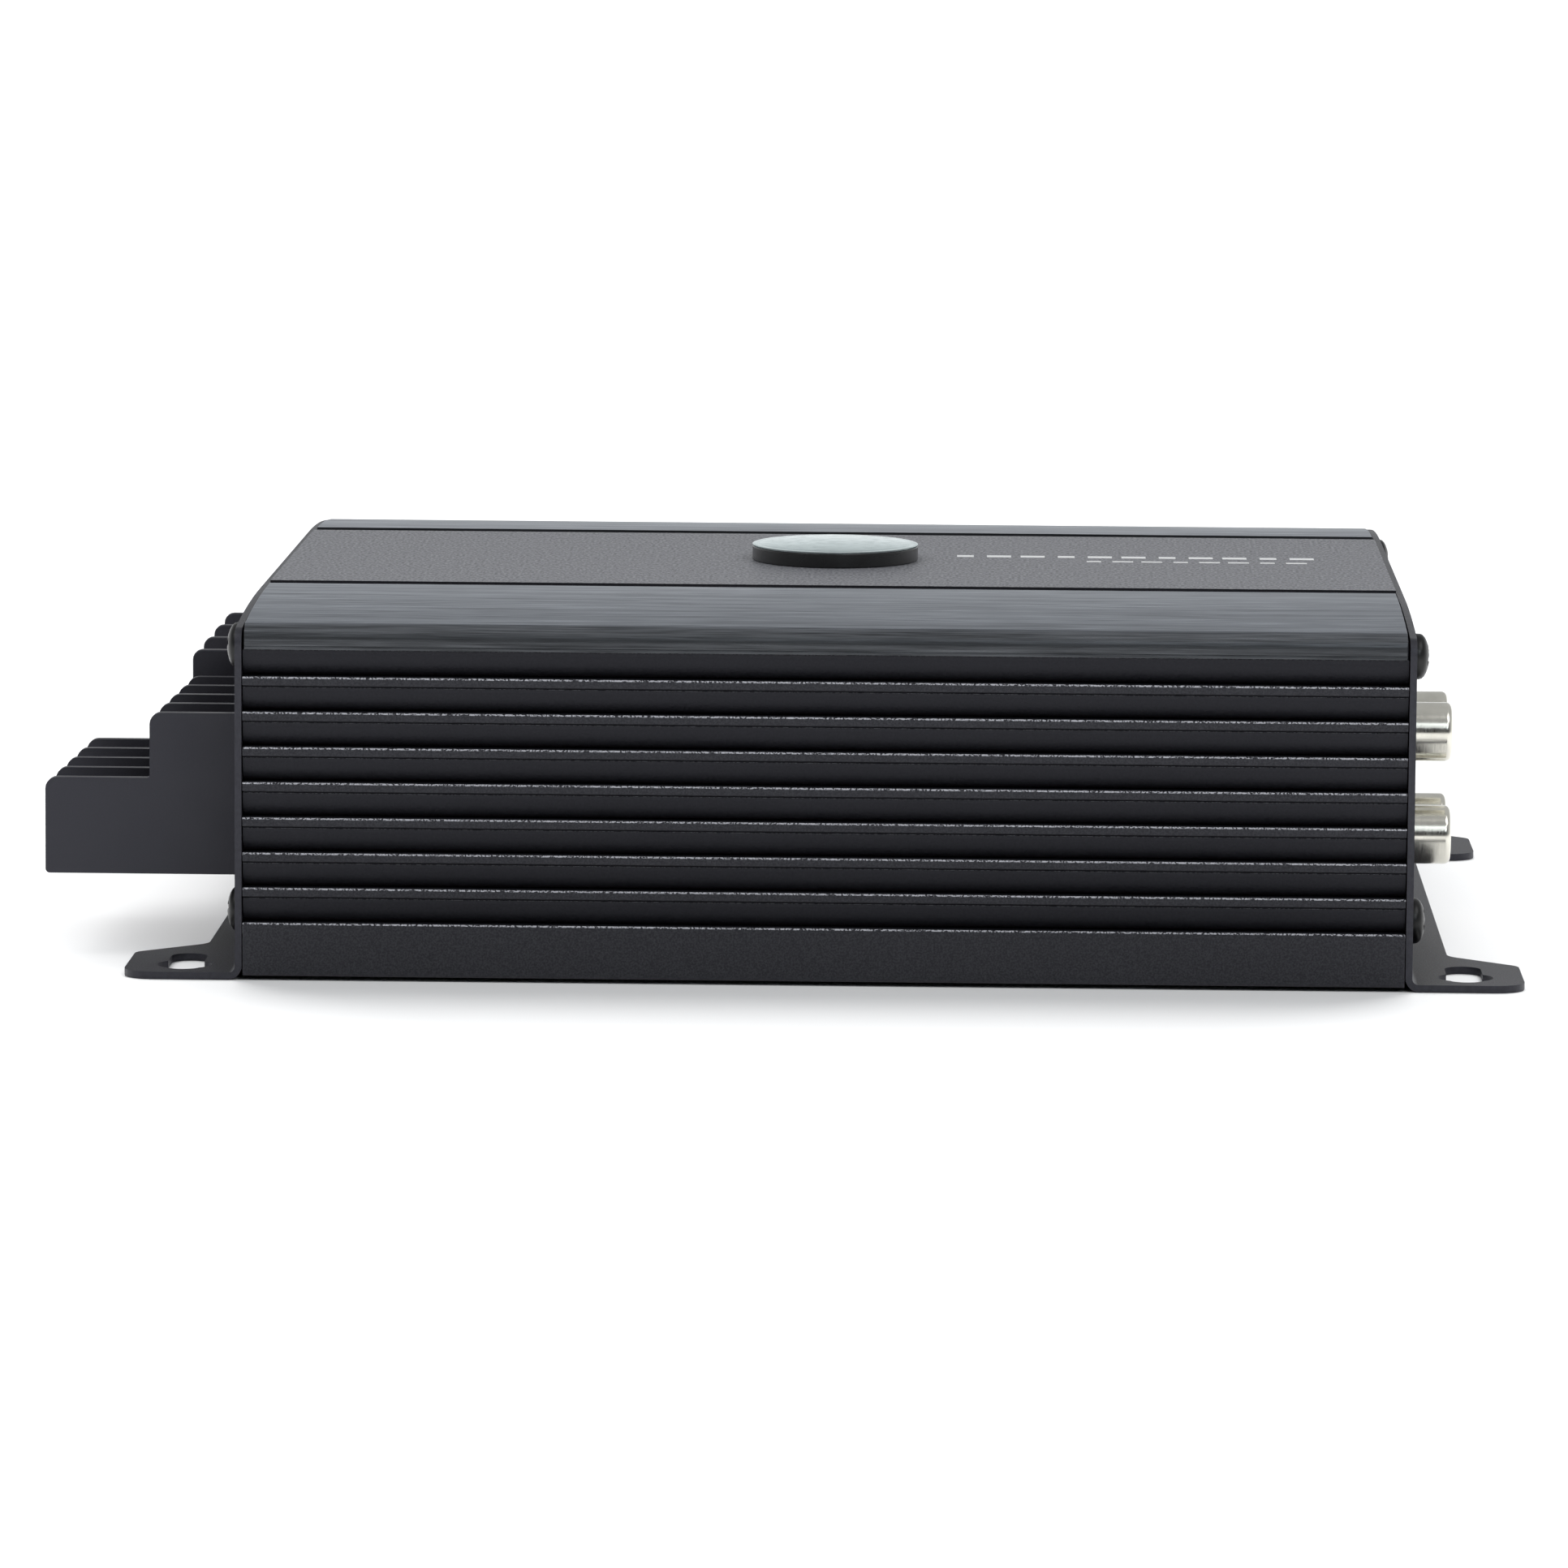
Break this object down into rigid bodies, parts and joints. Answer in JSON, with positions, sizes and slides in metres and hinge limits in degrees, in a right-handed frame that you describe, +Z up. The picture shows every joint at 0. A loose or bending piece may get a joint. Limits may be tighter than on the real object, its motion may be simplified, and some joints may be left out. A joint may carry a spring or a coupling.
{
  "type": "car amplifier",
  "caption": "Low ribbed aluminium casing with crowned top, slotted mounting ears, stepped screw terminals and blade fuses on one end, phono jacks and controls on the other.",
  "frame": {"origin": "on the mounting plane, below the middle of the casing", "axes": "+X along the extrusion from the terminal end to the jack end, +Y from the front ribs to the rear ribs, +Z up"},
  "size_m": [0.2042, 0.165, 0.0531],
  "materials": {
    "powder_coat": "fine textured powder coat",
    "brushed_trim": "grey anodised, brushed along its length",
    "badge_chrome": "polished",
    "badge_black": "gloss black",
    "plate_paint": "satin black paint",
    "black_steel": "black zinc",
    "terminal_plastic": "moulded, fine grain",
    "nickel": "nickel plate",
    "tin_plate": "bright zinc",
    "fuse_plastic": "translucent green",
    "white_plastic": "white",
    "red_plastic": "red",
    "knob_plastic": "pale grey",
    "blue_plastic": "blue",
    "brass": "bright",
    "green_lens": "tinted lens",
    "red_lens": "tinted lens",
    "circuit_board": "green solder mask",
    "ferrite": "matt",
    "copper_wire": "enamelled copper",
    "capacitor_sleeve": "shrink sleeve",
    "chip_plastic": "moulded",
    "silicone_pad": "matt grey",
    "bare_aluminium": "mill finish"
  },
  "bodies": {
    "casing": {"heatsink_body": "powder_coat", "front_trim": "brushed_trim", "rear_trim": "brushed_trim", "badge_base": "badge_black", "badge_face": "badge_chrome", "bottom_cover": "plate_paint", "bottom_cover_screws": "black_steel", "left_end_plate": "plate_paint", "right_end_plate": "plate_paint", "left_plate_screws": "black_steel", "right_plate_screws": "black_steel", "speaker_terminal_block": "terminal_plastic", "speaker_terminal_clamps": "tin_plate", "speaker_terminal_screws": "tin_plate", "power_terminal_block": "terminal_plastic", "power_terminal_clamps": "tin_plate", "power_terminal_screws": "tin_plate", "fuse_holder": "terminal_plastic", "jack_housing": "terminal_plastic", "jack_shells": "nickel", "jack_insulators_white": "white_plastic", "jack_insulators_red": "red_plastic", "jack_contacts": "brass", "potentiometer_bodies": "blue_plastic", "slide_switch_bodies": "tin_plate", "power_led": "green_lens", "protect_led": "red_lens", "control_board": "circuit_board", "main_board": "circuit_board", "board_standoffs": "brass", "board_screws": "tin_plate", "transformer_core": "ferrite", "transformer_winding": "copper_wire", "choke_core": "ferrite", "choke_winding": "copper_wire", "supply_capacitors": "capacitor_sleeve", "rail_capacitors": "capacitor_sleeve", "signal_chips": "chip_plastic", "front_transistors": "chip_plastic", "rear_transistors": "chip_plastic", "insulating_pads": "silicone_pad", "front_clamp_bar": "bare_aluminium", "rear_clamp_bar": "bare_aluminium", "clamp_screws": "tin_plate"},
    "front_fuse": {"front_fuse_body": "fuse_plastic", "front_fuse_blades": "tin_plate"},
    "rear_fuse": {"rear_fuse_body": "fuse_plastic", "rear_fuse_blades": "tin_plate"},
    "front_gain": {"front_gain_shaft": "knob_plastic"},
    "front_crossover": {"front_crossover_shaft": "knob_plastic"},
    "rear_gain": {"rear_gain_shaft": "knob_plastic"},
    "rear_crossover": {"rear_crossover_shaft": "knob_plastic"},
    "front_filter": {"front_filter_slider": "chip_plastic"},
    "rear_filter": {"rear_filter_slider": "chip_plastic"},
    "input_mode": {"input_mode_slider": "chip_plastic"}
  },
  "joints": [
    {"name": "front_fuse_pull", "type": "slide", "parent": "casing", "child": "front_fuse", "axis": [-1, 0, 0], "range_m": [0, 0.012]},
    {"name": "rear_fuse_pull", "type": "slide", "parent": "casing", "child": "rear_fuse", "axis": [-1, 0, 0], "range_m": [0, 0.012]},
    {"name": "front_gain_turn", "type": "hinge", "parent": "casing", "child": "front_gain", "pos_m": [0.075, -0.0545, 0.0285], "axis": [1, 0, 0], "range_deg": [-150, 150]},
    {"name": "front_crossover_turn", "type": "hinge", "parent": "casing", "child": "front_crossover", "pos_m": [0.075, -0.0405, 0.0285], "axis": [1, 0, 0], "range_deg": [-150, 150]},
    {"name": "rear_gain_turn", "type": "hinge", "parent": "casing", "child": "rear_gain", "pos_m": [0.075, 0.0115, 0.0285], "axis": [1, 0, 0], "range_deg": [-150, 150]},
    {"name": "rear_crossover_turn", "type": "hinge", "parent": "casing", "child": "rear_crossover", "pos_m": [0.075, 0.0255, 0.0285], "axis": [1, 0, 0], "range_deg": [-150, 150]},
    {"name": "front_filter_slide", "type": "slide", "parent": "casing", "child": "front_filter", "axis": [0, 1, 0], "range_m": [-0.002, 0.002]},
    {"name": "rear_filter_slide", "type": "slide", "parent": "casing", "child": "rear_filter", "axis": [0, 1, 0], "range_m": [-0.002, 0.002]},
    {"name": "input_mode_slide", "type": "slide", "parent": "casing", "child": "input_mode", "axis": [0, 1, 0], "range_m": [0, 0.003]}
  ]
}
